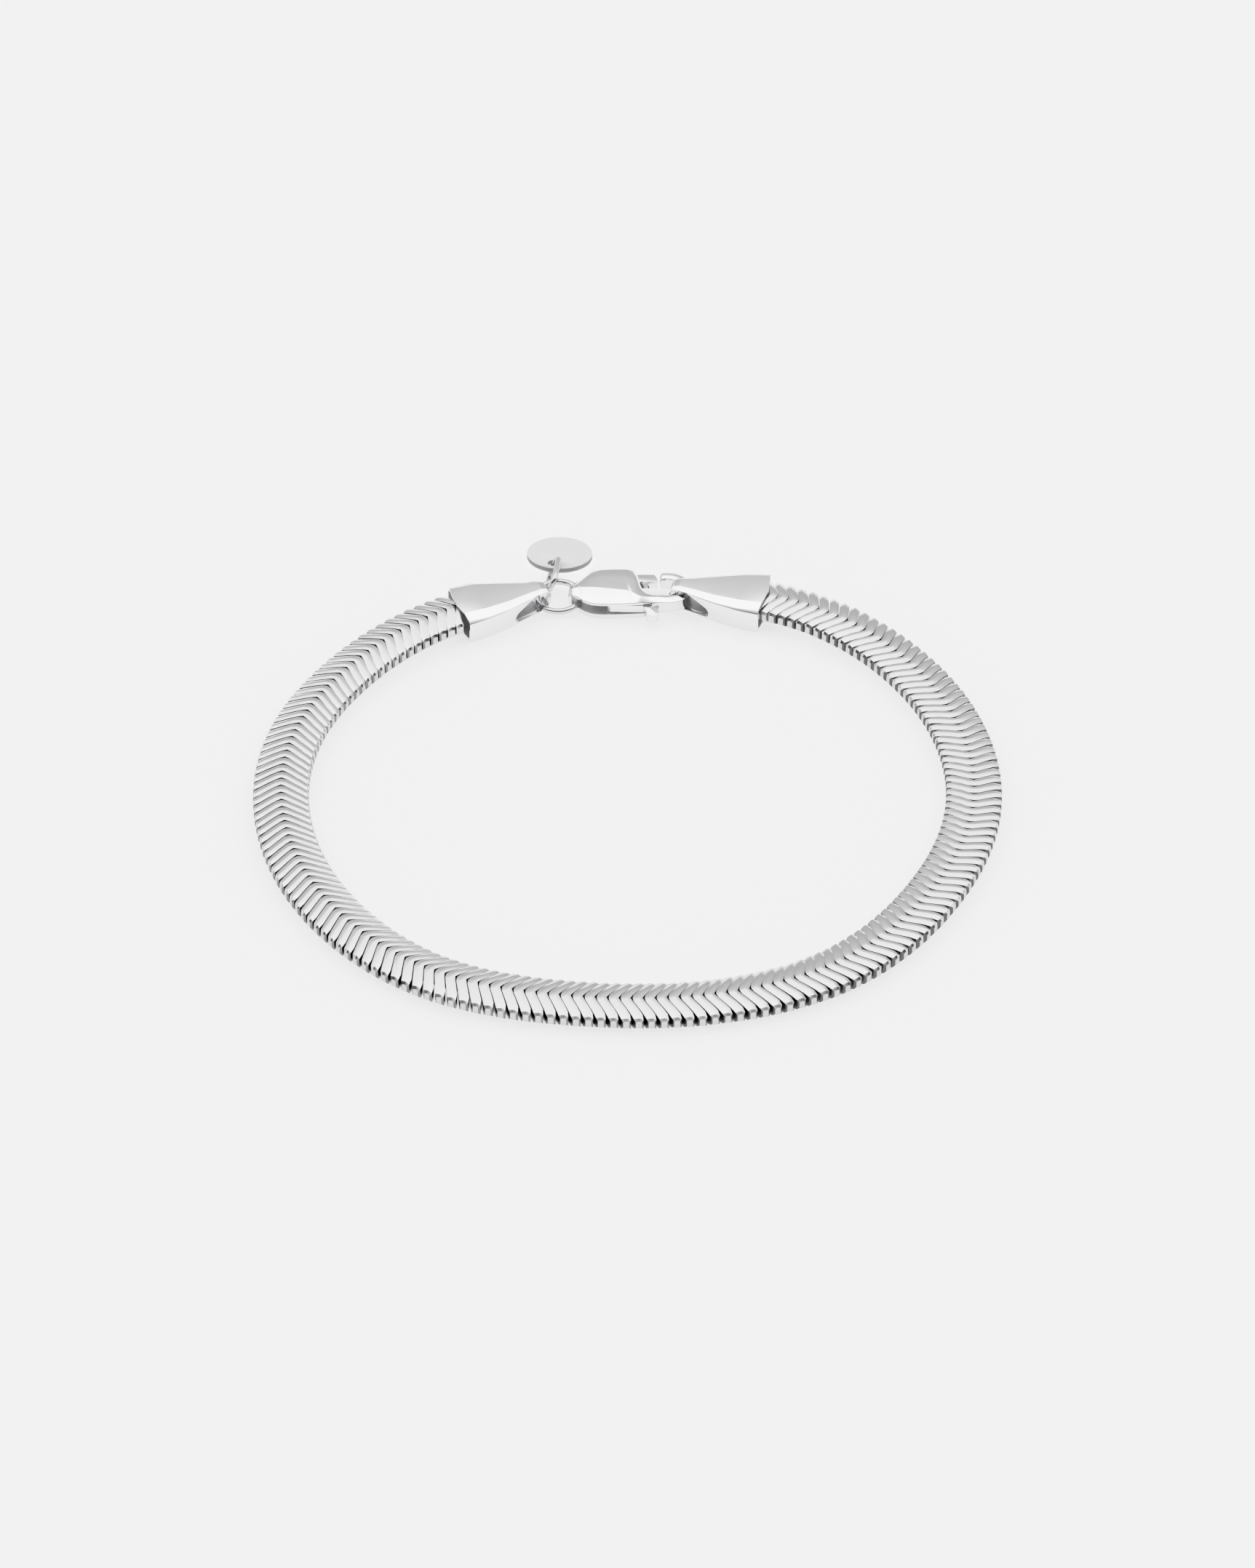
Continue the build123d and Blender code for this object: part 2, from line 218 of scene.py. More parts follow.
def silver_group():
    """What all the silver shares: soft clouds of polish, fine rub marks and painted shade towards
    dark silver.
    """
    group = bpy.data.node_groups.new("silver_surface", "ShaderNodeTree")
    face = group.interface
    for name, kind, start in (
        ("Vector", "NodeSocketVector", None),
        ("Silver", "NodeSocketColor", SILVER),
        ("Shadowed Silver", "NodeSocketColor", SHADOWED_SILVER),
        ("Painted Shade", "NodeSocketFloat", 0.0),
        ("Cloud Scale", "NodeSocketFloat", 900.0),
        ("Rub Scale", "NodeSocketFloat", 9000.0),
        ("Gloss", "NodeSocketFloat", 0.06),
        ("Haze", "NodeSocketFloat", 0.16),
    ):
        socket = face.new_socket(name=name, in_out="INPUT", socket_type=kind)
        if start is not None:
            socket.default_value = start
    for name, kind in (
        ("Color", "NodeSocketColor"),
        ("Roughness", "NodeSocketFloat"),
        ("Height", "NodeSocketFloat"),
    ):
        face.new_socket(name=name, in_out="OUTPUT", socket_type=kind)
    nodes, links = group.nodes, group.links
    given = nodes.new("NodeGroupInput")
    result = nodes.new("NodeGroupOutput")

    clouds = nodes.new("ShaderNodeTexNoise")
    clouds.inputs["Detail"].default_value = 4
    links.new(given.outputs["Vector"], clouds.inputs["Vector"])
    links.new(given.outputs["Cloud Scale"], clouds.inputs["Scale"])

    stretch = nodes.new("ShaderNodeMapping")
    stretch.inputs["Scale"].default_value = RUB_STRETCH
    stretch.inputs["Rotation"].default_value = RUB_DIRECTION
    links.new(given.outputs["Vector"], stretch.inputs["Vector"])
    rubs = nodes.new("ShaderNodeTexNoise")
    rubs.inputs["Detail"].default_value = 3
    links.new(stretch.outputs["Vector"], rubs.inputs["Vector"])
    links.new(given.outputs["Rub Scale"], rubs.inputs["Scale"])

    shine = nodes.new("ShaderNodeMapRange")
    shine.inputs["From Min"].default_value, shine.inputs["From Max"].default_value = CLOUD_RANGE
    links.new(clouds.outputs["Fac"], shine.inputs["Value"])
    links.new(given.outputs["Gloss"], shine.inputs["To Min"])
    links.new(given.outputs["Haze"], shine.inputs["To Max"])

    # Painted shade: the colour is mixed towards dark silver as far as the attribute asks
    shadow = nodes.new("ShaderNodeMix")
    shadow.data_type = "RGBA"
    links.new(given.outputs["Painted Shade"], shadow.inputs["Factor"])
    links.new(given.outputs["Silver"], shadow.inputs["A"])
    links.new(given.outputs["Shadowed Silver"], shadow.inputs["B"])

    links.new(shadow.outputs["Result"], result.inputs["Color"])
    links.new(shine.outputs["Result"], result.inputs["Roughness"])
    links.new(rubs.outputs["Fac"], result.inputs["Height"])
    return group


silver_surface = silver_group()


def silver_material(
    name, silver=SILVER, gloss=0.06, haze=0.16, clouds=900, bump=0.05, painted_shade=None
):
    """A silver, from gloss to haze in clouds. Its last argument names the attribute of its painted
    shade.
    """
    material = bpy.data.materials.new(name)
    material.use_nodes = True
    nodes, links = material.node_tree.nodes, material.node_tree.links
    shader = nodes["Principled BSDF"]
    shader.inputs["Metallic"].default_value = 1.0
    surface = nodes.new("ShaderNodeGroup")
    surface.node_tree = silver_surface
    surface.inputs["Silver"].default_value = silver
    surface.inputs["Gloss"].default_value = gloss
    surface.inputs["Haze"].default_value = haze
    surface.inputs["Cloud Scale"].default_value = clouds
    place = nodes.new("ShaderNodeTexCoord")
    links.new(place.outputs["Object"], surface.inputs["Vector"])
    if painted_shade:
        mark = nodes.new("ShaderNodeAttribute")
        mark.attribute_name = painted_shade
        links.new(mark.outputs["Fac"], surface.inputs["Painted Shade"])
    relief = nodes.new("ShaderNodeBump")
    relief.inputs["Strength"].default_value = bump
    relief.inputs["Distance"].default_value = RUB_DEPTH
    links.new(surface.outputs["Height"], relief.inputs["Height"])
    links.new(surface.outputs["Color"], shader.inputs["Base Color"])
    links.new(surface.outputs["Roughness"], shader.inputs["Roughness"])
    links.new(relief.outputs["Normal"], shader.inputs["Normal"])
    return material


# One link starts as a block, is cut into rows across, and has its top rolled and each row thinned
# and set back
link = add_block(
    "herringbone_link",
    (LINK_BACK, -LINK_HALF_WIDTH, -RIDGE_HALF_HEIGHT),
    (-LINK_BACK, LINK_HALF_WIDTH, RIDGE_HALF_HEIGHT),
)
cut_across(1, sorted({row[0] * MM * side for row in LINK_ROWS[:-1] for side in (1, -1)}))
for share, _ in LINK_ROLL[1:-1]:
    select_faces(link, lambda middle, normal: normal.z > 0.9)
    bpy.ops.mesh.bisect(plane_co=(share * LINK_LENGTH, 0, 0), plane_no=(1, 0, 0))
for share, drop in LINK_ROLL:
    shift(link, lambda v: near_to(v.x, share * LINK_LENGTH) and v.z > 0, (0, 0, -drop * MM))
for across, lag, above, below, keeps, forward, sink in LINK_ROWS:
    for side in (1, -1) if across else (1,):
        y = side * across * MM
        for wanted, by in (
            (lambda v: near_to(v.x, LINK_BACK) and v.z > 0, (0, 0, -sink * MM)),
            (lambda v: near_to(v.x, LINK_BACK), (forward * MM, 0, 0)),
            (lambda v: v.z > 0, (0, 0, above * MM - RIDGE_HALF_HEIGHT)),
            (lambda v: v.z < 0, (0, 0, RIDGE_HALF_HEIGHT - below * MM)),
        ):
            shift(link, lambda v: near_to(v.y, y) and wanted(v), by)
        select_vertices(link, lambda v: near_to(v.y, y))
        bpy.ops.transform.resize(value=(keeps, 1, 1), center_override=(0, y, 0))
        bpy.ops.transform.translate(value=(-lag * MM, 0, 0))
bpy.ops.mesh.select_all(action="SELECT")
bpy.ops.mesh.normals_make_consistent(inside=False)
bpy.ops.object.mode_set(mode="OBJECT")

# Painted shade: the closed front stands in for the hollow one and is painted in deep shade, the
# back wall in a little less, both lighter near the open ends, and the end faces get a touch.
# A face is upright where its normal hardly rises.
UPRIGHT = 0.3
LENGTHWISE = 0.6
FRONT_SHADE = 1.0
BACK_SHADE = 0.75
END_SHADE = 0.80
END_FACE_SHADE = 0.08
END_START = 1.9 * MM
OPEN_END_SHADE = 0.05
shade = link.data.attributes.new("painted_shade", "FLOAT", "FACE")
for polygon in link.data.polygons:
    facing = polygon.normal
    if abs(facing.z) < UPRIGHT and abs(facing.x) > LENGTHWISE:
        tone = FRONT_SHADE if facing.x > 0 else BACK_SHADE
        if abs(polygon.center.y) > END_START:
            tone *= END_SHADE
        shade.data[polygon.index].value = tone
    # The end faces get a touch of painted shade
    elif abs(facing.y) > LENGTHWISE:
        shade.data[polygon.index].value = END_FACE_SHADE


def loose_solids(node):
    """The points of each loose solid of a CAD node."""
    mesh = bmesh.new()
    mesh.from_mesh(node.data)
    bmesh.ops.remove_doubles(mesh, verts=mesh.verts, dist=WELD)
    solids, seen = [], set()
    for seed in mesh.verts:
        if seed in seen:
            continue
        seen.add(seed)
        points, waiting = [], [seed]
        while waiting:
            vertex = waiting.pop()
            points.append(vertex.co[:])
            for edge in vertex.link_edges:
                other = edge.other_vert(vertex)
                if other not in seen:
                    seen.add(other)
                    waiting.append(other)
        solids.append(np.array(points))
    mesh.free()
    return solids


def link_places(node):
    """A matrix for the place of each CAD link, in order from the right cap round the loop."""
    solids = loose_solids(node)
    middles = np.array([points.mean(axis=0) for points in solids])
    cap_middle = np.mean(np.array(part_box("end_cap_right")), axis=0)
    order = [int(np.argmin(np.linalg.norm(middles - cap_middle, axis=1)))]
    rest = set(range(len(solids))) - set(order)
    while rest:
        here = middles[order[-1]]
        order.append(min(rest, key=lambda i: np.sum((middles[i] - here) ** 2)))
        rest.discard(order[-1])
    steps = np.linalg.norm(np.diff(middles[order], axis=0), axis=1)
    if steps.max() > 1.5 * LINK_PITCH:
        raise RuntimeError("the links aren't in order")
    places = []
    for step, index in enumerate(order):
        # The longest axis of a link's points runs across it, and the one that stands up is its up
        points = solids[index] - middles[index]
        _, axes = np.linalg.eigh(points.T @ points)
        up = Vector(axes[:, np.argmax(np.abs(axes[2]))])
        up = up if up.z > 0 else -up
        near, far = order[max(step - 1, 0)], order[min(step + 1, len(order) - 1)]
        travel = Vector(middles[far] - middles[near])
        across = Vector(axes[:, 2])
        forward = across.cross(up).normalized()
        forward = forward if forward.dot(travel) > 0 else -forward
        across = up.cross(forward).normalized()
        # Without its tongue a CAD link is as long as the pitch less the gap, and the new link's
        # middle goes half of that behind the CAD link's front
        reach = float(np.max(points @ np.array(forward)))
        origin = Vector(middles[index]) + forward * (reach - (LINK_PITCH - LINK_CAD_GAP) / 2)
        turn = Matrix((forward, across, up)).transposed().to_4x4()
        places.append(Matrix.Translation(origin) @ turn)
    return places


places = link_places(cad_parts["chain"])
settle = random.Random(LOOSENESS_SEED)
copies = []
for place in places:
    copy = copy_of(link, "herringbone_link")
    roll = Matrix.Rotation(settle.uniform(-LINK_LOOSENESS, LINK_LOOSENESS), 4, "X")
    pitch = Matrix.Rotation(settle.uniform(-LINK_LOOSENESS, LINK_LOOSENESS), 4, "Y")
    copy.matrix_world = place @ roll @ pitch
    copies.append(copy)
bpy.data.objects.remove(link)
# Light from the open side reaches the first and last two links, so most of their painted shade is
# taken off
for end in copies[:2] + copies[-2:]:
    for mark in end.data.attributes["painted_shade"].data:
        mark.value *= OPEN_END_SHADE
start_piece()
for copy in copies:
    copy.select_set(True)
bpy.context.view_layer.objects.active = copies[0]
bpy.ops.object.join()
chain = bpy.context.object
chain.name = "herringbone_chain"
bpy.ops.object.transform_apply(location=True, rotation=True, scale=True)
bpy.ops.object.shade_smooth_by_angle(angle=LINK_SMOOTHING)
cover(chain, silver_material("chain_silver", silver=CHAIN_SILVER, painted_shade="painted_shade"))
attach(chain, "bracelet")
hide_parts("chain")


# End caps. Each is folded from silver sheet into a tapered shell: a flat top, sloping shoulders
# and upright sides, with a wide mouth that holds the chain's last links. The tip is bent down and
# round, and a teardrop hole through both sides takes the jump ring or the clasp's hook.
CAP_LENGTH = 8.5 * MM
CAP_HALF_WIDTH = 3.05 * MM
CAP_HEIGHT = 2.70 * MM
CAP_WALL = 0.26 * MM
CAP_FLAT = 2.04 * MM
CAP_SHOULDER = 1.70 * MM
# The rounded foot of the sides, and the most of a low station's height that it takes up
CAP_FOOT = 0.28 * MM
CAP_FOOT_SHARE = 0.3
# Stations from mouth to tip: along, half width, half width of the flat top, top and bottom
CAP_STATIONS = [
    (0.00, 3.02, 2.04, 2.69, 0.02),
    (2.10, 2.75, 1.84, 2.57, 0.00),
    (4.25, 2.14, 1.38, 2.42, 0.00),
    (6.50, 1.32, 0.75, 2.32, 0.00),
    (7.65, 0.94, 0.50, 2.29, 0.03),
    (8.15, 0.84, 0.44, 2.14, 0.20),
    (8.40, 0.78, 0.40, 1.82, 0.50),
    (8.50, 0.76, 0.38, 1.30, 0.95),
]
CAP_BEVEL_DROP = 0.45 * MM
# The steep band under the shoulder is broad at the mouth and fades out towards the tip
CAP_STEEP_WIDTH = 0.08
CAP_STEEP_DROP = 0.22 * MM
CAP_STEEP_END = 5.8 * MM
CAP_STEEP_LEAST = 0.1
MOUTH_ARCH = 0.30 * MM
MOUTH_CORNER = 0.12 * MM
CAP_EDGE_ROUND = 0.07 * MM
SMOOTHING = math.radians(35)
DULL_SILVER = (0.70, 0.70, 0.71, 1)
# Mouths of the left and right caps from the loop's middle, the way that their tips point, and how
# far the mouth's far corner is bent down
CAP_PLACES = {
    "end_cap_left": ((-14.966, 23.813), 20.5, -0.22 * MM),
    "end_cap_right": ((12.043, 25.443), 168.5, 0),
}


def move_point(piece, place, to):
    """Moves the vertices that are at one place to another."""
    by = [b - a for a, b in zip(place, to)]
    shift(piece, lambda v: all(near_to(a, b) for a, b in zip(v, place)), by)


def apply_modifier(piece, kind, **settings):
    pick(piece)
    modifier = piece.modifiers.new(kind.lower(), kind)
    for name, value in settings.items():
        setattr(modifier, name, value)
    bpy.ops.object.modifier_apply(modifier=modifier.name)


def soften(piece, width, angle, segments=2):
    """Rounds the edges that are sharper than an angle and smooths what is nearly flat."""
    apply_modifier(
        piece,
        "BEVEL",
        width=width,
        segments=segments,
        limit_method="ANGLE",
        angle_limit=math.radians(angle),
        use_clamp_overlap=True,
    )
    bpy.ops.object.shade_smooth_by_angle(angle=SMOOTHING)


def select_all_of(piece):
    """In edit mode, selects the whole mesh."""
    pick(piece)
    bpy.ops.object.mode_set(mode="EDIT")
    bpy.ops.mesh.select_all(action="SELECT")


def cut_away(piece, cutter):
    """Cuts the cutter's shape out of a piece, and removes the cutter."""
    apply_modifier(piece, "BOOLEAN", operation="DIFFERENCE", object=cutter, solver="EXACT")
    bpy.data.objects.remove(cutter)


def put_in_place(piece, place):
    """Applies a place to a piece's mesh, so that its object stays at the origin."""
    pick(piece)
    piece.matrix_world = place
    bpy.ops.object.transform_apply(location=True, rotation=True, scale=True)


def cap_form(name, stations, inset):
    """The cap's tapered form with every side set in by inset, and open at its arched mouth."""
    length = stations[-1][0] * MM
    form = add_block(name, (0, -CAP_HALF_WIDTH, 0), (length, CAP_HALF_WIDTH, CAP_HEIGHT))
    cut_across(0, [station[0] * MM for station in stations[1:-1]])
    cut_across(1, [-CAP_FLAT, 0, CAP_FLAT])
    cut_across(2, [CAP_FOOT, CAP_SHOULDER])
    select_faces(form, lambda middle, normal: normal.x < -0.9)
    bpy.ops.mesh.delete(type="FACE")
    select_faces(form, lambda middle, normal: normal.x > 0.9)
    bpy.ops.mesh.dissolve_faces()
    for along, half, flat, top, bottom in stations:
        x = along * MM
        half, flat = half * MM - inset, flat * MM - 0.5 * inset
        top, bottom = top * MM - inset, bottom * MM + inset
        slim = (half / CAP_HALF_WIDTH) ** 0.5 * (top - bottom) / CAP_HEIGHT
        foot = min(CAP_FOOT, CAP_FOOT_SHARE * (top - bottom))
        steep = max(CAP_STEEP_LEAST, 1 - x / CAP_STEEP_END)
        bevel = CAP_BEVEL_DROP * slim
        for y, z, to_y, to_z in (
            (0, CAP_HEIGHT, 0, top),
            (CAP_FLAT, CAP_HEIGHT, flat, top),
            (CAP_HALF_WIDTH, CAP_HEIGHT, half * (1 - CAP_STEEP_WIDTH * steep), top - bevel),
            (CAP_HALF_WIDTH, CAP_SHOULDER, half, top - bevel - CAP_STEEP_DROP * steep * slim),
            (CAP_HALF_WIDTH, CAP_FOOT, half, bottom + foot),
            (CAP_HALF_WIDTH, 0, half - 0.5 * foot, bottom),
            (CAP_FLAT, 0, flat, bottom),
            (0, 0, 0, bottom),
        ):
            for side in (1, -1):
                move_point(form, (x, side * y, z), (x, side * to_y, to_z))
    shift(form, lambda v: near_to(v.x, 0) and near_to(v.y, 0), (-MOUTH_ARCH, 0, 0))
    corner = 0.8 * CAP_HALF_WIDTH
    shift(form, lambda v: near_to(v.x, 0) and abs(v.y) > corner, (MOUTH_CORNER, 0, 0))
    bpy.ops.object.mode_set(mode="OBJECT")
    return form


# The shell is an outer and an inner form, joined at the mouth by a thin rim. The outside is
# polished, and the inside keeps the dull skin of the sheet.
cap_silver = silver_material("cap_silver", gloss=0.05, haze=0.13, clouds=500)
cap_inside = silver_material("cap_inside", silver=DULL_SILVER, gloss=0.50, haze=0.65)
cap = cap_form("end_cap", CAP_STATIONS, 0)
cover(cap, cap_silver)
hollow = cap_form("cap_hollow", CAP_STATIONS[:-2], CAP_WALL)
cover(hollow, cap_inside)
select_all_of(hollow)
bpy.ops.mesh.flip_normals()
pick(cap)
hollow.select_set(True)
bpy.ops.object.join()
bpy.context.tool_settings.mesh_select_mode = (False, True, False)
bpy.ops.object.mode_set(mode="EDIT")
bpy.ops.mesh.select_all(action="DESELECT")
bpy.ops.mesh.select_non_manifold()
bpy.ops.mesh.bridge_edge_loops()
bpy.ops.object.mode_set(mode="OBJECT")

# The teardrop hole: a block whose low end is drawn down, with its corners rounded
EYE_START = 4.75 * MM
EYE_RISE = 6.90 * MM
EYE_END = 8.22 * MM
EYE_LOW = 0.28 * MM
EYE_LOW_TOP = 1.05 * MM
EYE_HIGH = 2.08 * MM
EYE_ROUNDING = ((EYE_START, 0.36 * MM), (EYE_RISE, 0.62 * MM), (EYE_END, 0.62 * MM))
EYE_SEGMENTS = 5
eye = add_block(
    "cap_eye",
    (EYE_START, -CAP_HALF_WIDTH, EYE_LOW),
    (EYE_END, CAP_HALF_WIDTH, EYE_HIGH),
)
cut_across(0, [EYE_RISE])
shift(
    eye,
    lambda v: near_to(v.x, EYE_START) and near_to(v.z, EYE_HIGH),
    (0, 0, EYE_LOW_TOP - EYE_HIGH),
)
for place, radius in EYE_ROUNDING:
    select_edges(
        eye,
        lambda a, b: near_to(a.x, place) and near_to(b.x, place) and near_to(a.z, b.z)
        and (place != EYE_RISE or a.z > EYE_LOW_TOP),
    )
    bpy.ops.mesh.bevel(offset=radius, segments=EYE_SEGMENTS, affect="EDGES")
select_all_of(eye)
bpy.ops.mesh.remove_doubles(threshold=WELD)
bpy.ops.mesh.normals_make_consistent(inside=False)
cut_away(cap, eye)
soften(cap, CAP_EDGE_ROUND, angle=14, segments=3)

# Both caps are alike, apart from the far corner of the left one's mouth
for name, (mouth, direction, far_corner_drop) in CAP_PLACES.items():
    placed = copy_of(cap, name + "_shell")
    pick(placed)
    if far_corner_drop:
        shift(
            placed,
            lambda v: v.x < 0.2 * CAP_LENGTH
            and v.y > 0.5 * CAP_HALF_WIDTH
            and v.z > 0.3 * CAP_HEIGHT,
            (0, 0, far_corner_drop),
        )
    spot = Vector((loop_middle.x + mouth[0] * MM, loop_middle.y + mouth[1] * MM, 0))
    turn = Matrix.Rotation(math.radians(direction), 4, "Z")
    put_in_place(placed, Matrix.Translation(spot) @ turn)
    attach(placed, "bracelet")
    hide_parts(name)
bpy.data.objects.remove(cap)


# Jump ring. A round wire bent into a ring and closed with a butt joint, which shows as a fine
# line. It links the left cap's eye to the clasp's tail and leans down towards the front.
WIRE_RADIUS = 0.275 * MM
WIRE_SMOOTHING = math.radians(40)
WIRE_SILVER = (0.80, 0.80, 0.81, 1)
RING_LEAN = math.radians(7)
RING_SETTLE = Vector((0, -0.15, -0.18)) * MM
RING_JOINT_TURN = math.radians(35)
JOINT_GAP = 0.03 * MM
ring_silver = silver_material("ring_silver", silver=WIRE_SILVER, gloss=0.04, haze=0.10)


def middle_of(node):
    low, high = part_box(node)
    return (Vector(low) + Vector(high)) / 2


ring_low, ring_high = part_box("jump_ring")
ring_radius = (ring_high[0] - ring_low[0]) / 2 - WIRE_RADIUS
start_piece()
bpy.ops.mesh.primitive_torus_add(
    major_radius=ring_radius, minor_radius=WIRE_RADIUS, major_segments=96, minor_segments=24
)
jump_ring = bpy.context.object
jump_ring.name = "jump_ring_wire"
bpy.ops.object.mode_set(mode="EDIT")
for side in (1, -1):
    bpy.ops.mesh.select_all(action="SELECT")
    bpy.ops.mesh.bisect(plane_co=(0, side * JOINT_GAP / 2, 0), plane_no=(0, 1, 0))
select_faces(jump_ring, lambda middle, normal: abs(middle.y) < JOINT_GAP / 2 and middle.x > 0)
bpy.ops.mesh.delete(type="FACE")
bpy.ops.mesh.select_all(action="SELECT")
bpy.ops.mesh.fill_holes(sides=0)
bpy.ops.object.mode_set(mode="OBJECT")
put_in_place(
    jump_ring,
    Matrix.Translation(middle_of("jump_ring") + RING_SETTLE)
    @ Matrix.Rotation(RING_LEAN, 4, "X")
    @ Matrix.Rotation(RING_JOINT_TURN, 4, "Z"),
)
bpy.ops.object.shade_smooth_by_angle(angle=WIRE_SMOOTHING)
cover(jump_ring, ring_silver)
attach(jump_ring, "bracelet")
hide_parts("jump_ring")


# Clasp body. One casting of silver: two plates joined at the tail, with a ridge along the upper
# one, and a near arm that runs on into the hook. The lever swings in the slot between the plates.
CLASP_TAIL_FROM_RIVET = Vector((-5.65, -1.05, 0)) * MM
CLASP_EDGE_ROUND = 0.07 * MM
CASTING_WELD = 0.001 * MM
HOOK_X = 8.8 * MM
HOOK_STEPS = 18
# Past its half turn the hook runs on to its tip in steps: how far back, and what it narrows to
HOOK_TIP = ((-0.42 * MM, 0.97), (-0.16 * MM, 0.82), (-0.08 * MM, 0.60))
HOOK_TIP_MIDDLE = (0, 1.75 * MM, 1.10 * MM)
SLOT_LOW = 0.45 * MM
SLOT_HIGH = 1.33 * MM
SLOT_START = 0.42 * MM
SLOT_END = 8.05 * MM
SLOT_HALF_WIDTH = 3 * MM
FAR_WALL = (1.7 * MM, 4.3 * MM)
FAR_WALL_INSIDE = 1.85 * MM
FAR_WALL_OUTSIDE = 4 * MM
SEAM_START = 7.8 * MM
SEAM_LOW = 0.98 * MM
SEAM_HIGH = 1.10 * MM
SEAM_DEPTH = 0.07 * MM
CLASP_HIGH = 2.05 * MM
# The shoulder lies between the ridge and the far edge: its share of the way across, and of the drop
SHOULDER_ACROSS = 0.55
SHOULDER_DROP = 0.36
# Columns of the block that the body starts from: near edge, ridge, shoulder and far edge
CLASP_COLUMNS = (-2.35 * MM, -0.60 * MM, 0.90 * MM, 2.35 * MM)
# Stations from the tail to the hook: along, then near edge, ridge and far edge across, then the
# heights of the near edge, the ridge, the far edge and the underside
CLASP_STATIONS = [
    (0.12, -0.66, -0.22, 0.28, 0.95, 1.18, 1.10, 0.35),
    (0.26, -0.82, -0.30, 0.33, 1.28, 1.58, 1.42, 0.10),
    (0.50, -1.02, -0.44, 0.37, 1.50, 1.86, 1.60, 0.00),
    (1.00, -1.50, -0.57, 0.66, 1.57, 1.99, 1.76, 0.00),
    (1.50, -2.00, -0.56, 1.32, 1.58, 2.04, 1.80, 0.00),
    (2.20, -2.38, -0.57, 1.95, 1.58, 2.05, 1.88, 0.00),
    (3.00, -2.50, -0.66, 2.19, 1.58, 2.05, 1.89, 0.00),
    (4.20, -2.50, -0.84, 2.26, 1.58, 2.05, 1.89, 0.00),
    (5.20, -2.43, -1.02, 2.27, 1.58, 2.05, 1.88, 0.00),
    (5.75, -2.39, -1.32, 2.19, 1.58, 2.03, 1.85, 0.00),
    (6.05, -2.37, -1.56, 1.95, 1.58, 2.00, 1.80, 0.00),
    (6.25, -2.35, -1.70, 1.40, 1.58, 1.98, 1.74, 0.00),
    (6.40, -2.34, -1.78, 0.50, 1.58, 1.96, 1.67, 0.00),
    (6.58, -2.33, -1.85, -0.20, 1.58, 1.94, 1.70, 0.00),
    (6.95, -2.32, -1.88, -0.88, 1.59, 1.91, 1.72, 0.05),
    (7.50, -2.31, -1.84, -1.20, 1.60, 1.88, 1.72, 0.25),
    (8.10, -2.30, -1.78, -1.25, 1.60, 1.84, 1.70, 0.46),
    (8.80, -2.30, -1.75, -1.20, 1.56, 1.76, 1.64, 0.50),
]

clasp_tail = Vector((rivet_middle.x, rivet_middle.y, 0)) + CLASP_TAIL_FROM_RIVET
clasp = add_block(
    "clasp_casting",
    (CLASP_STATIONS[0][0] * MM, CLASP_COLUMNS[0], 0),
    (CLASP_STATIONS[-1][0] * MM, CLASP_COLUMNS[-1], CLASP_HIGH),
)
cut_across(0, [station[0] * MM for station in CLASP_STATIONS[1:-1]])
cut_across(1, CLASP_COLUMNS[1:-1])
cut_across(2, [SEAM_LOW, SEAM_HIGH])
for along, near, ridge, far, near_top, ridge_top, far_top, bottom in CLASP_STATIONS:
    x = along * MM
    shoulder = ridge + SHOULDER_ACROSS * (far - ridge)
    shoulder_top = ridge_top - SHOULDER_DROP * (ridge_top - far_top)
    columns = zip(
        CLASP_COLUMNS,
        (near, ridge, shoulder, far),
        (near_top, ridge_top, shoulder_top, far_top),
    )
    for column, across, top in columns:
        seam = SEAM_DEPTH if x > SEAM_START and column == CLASP_COLUMNS[0] else 0
        for z, inward, to_z in (
            (0, 0, bottom * MM),
            (CLASP_HIGH, 0, top * MM),
            (SEAM_LOW, seam, SEAM_LOW),
            (SEAM_HIGH, seam, SEAM_HIGH),
        ):
            move_point(clasp, (x, column, z), (x, across * MM + inward, to_z))

# The ridge stays crisp between its two polished slopes
ridge_points = [Vector((s[0], s[2], s[5])) * MM for s in CLASP_STATIONS]


def on_ridge(point):
    return min((point - ridge_point).length for ridge_point in ridge_points) < 0.01 * MM


select_edges(clasp, lambda a, b: on_ridge(a) and on_ridge(b))
bpy.ops.mesh.mark_sharp()

# The arm's end is spun round into the hook, which is then drawn back and narrowed to its tip
select_faces(clasp, lambda middle, normal: near_to(middle.x, HOOK_X))
bpy.ops.mesh.delete(type="FACE")
select_edges(clasp, lambda a, b: near_to(a.x, HOOK_X) and near_to(b.x, HOOK_X))
bpy.ops.mesh.spin(steps=HOOK_STEPS, angle=-math.pi, center=(HOOK_X, 0, 0), axis=(0, 0, 1))
for run, narrow in HOOK_TIP:
    bpy.ops.mesh.extrude_region_move(TRANSFORM_OT_translate={"value": (run, 0, 0)})
    bpy.ops.transform.resize(value=(1, narrow, narrow), center_override=HOOK_TIP_MIDDLE)
bpy.ops.mesh.edge_face_add()
bpy.ops.mesh.select_all(action="SELECT")
bpy.ops.mesh.remove_doubles(threshold=CASTING_WELD)
bpy.ops.mesh.normals_make_consistent(inside=False)

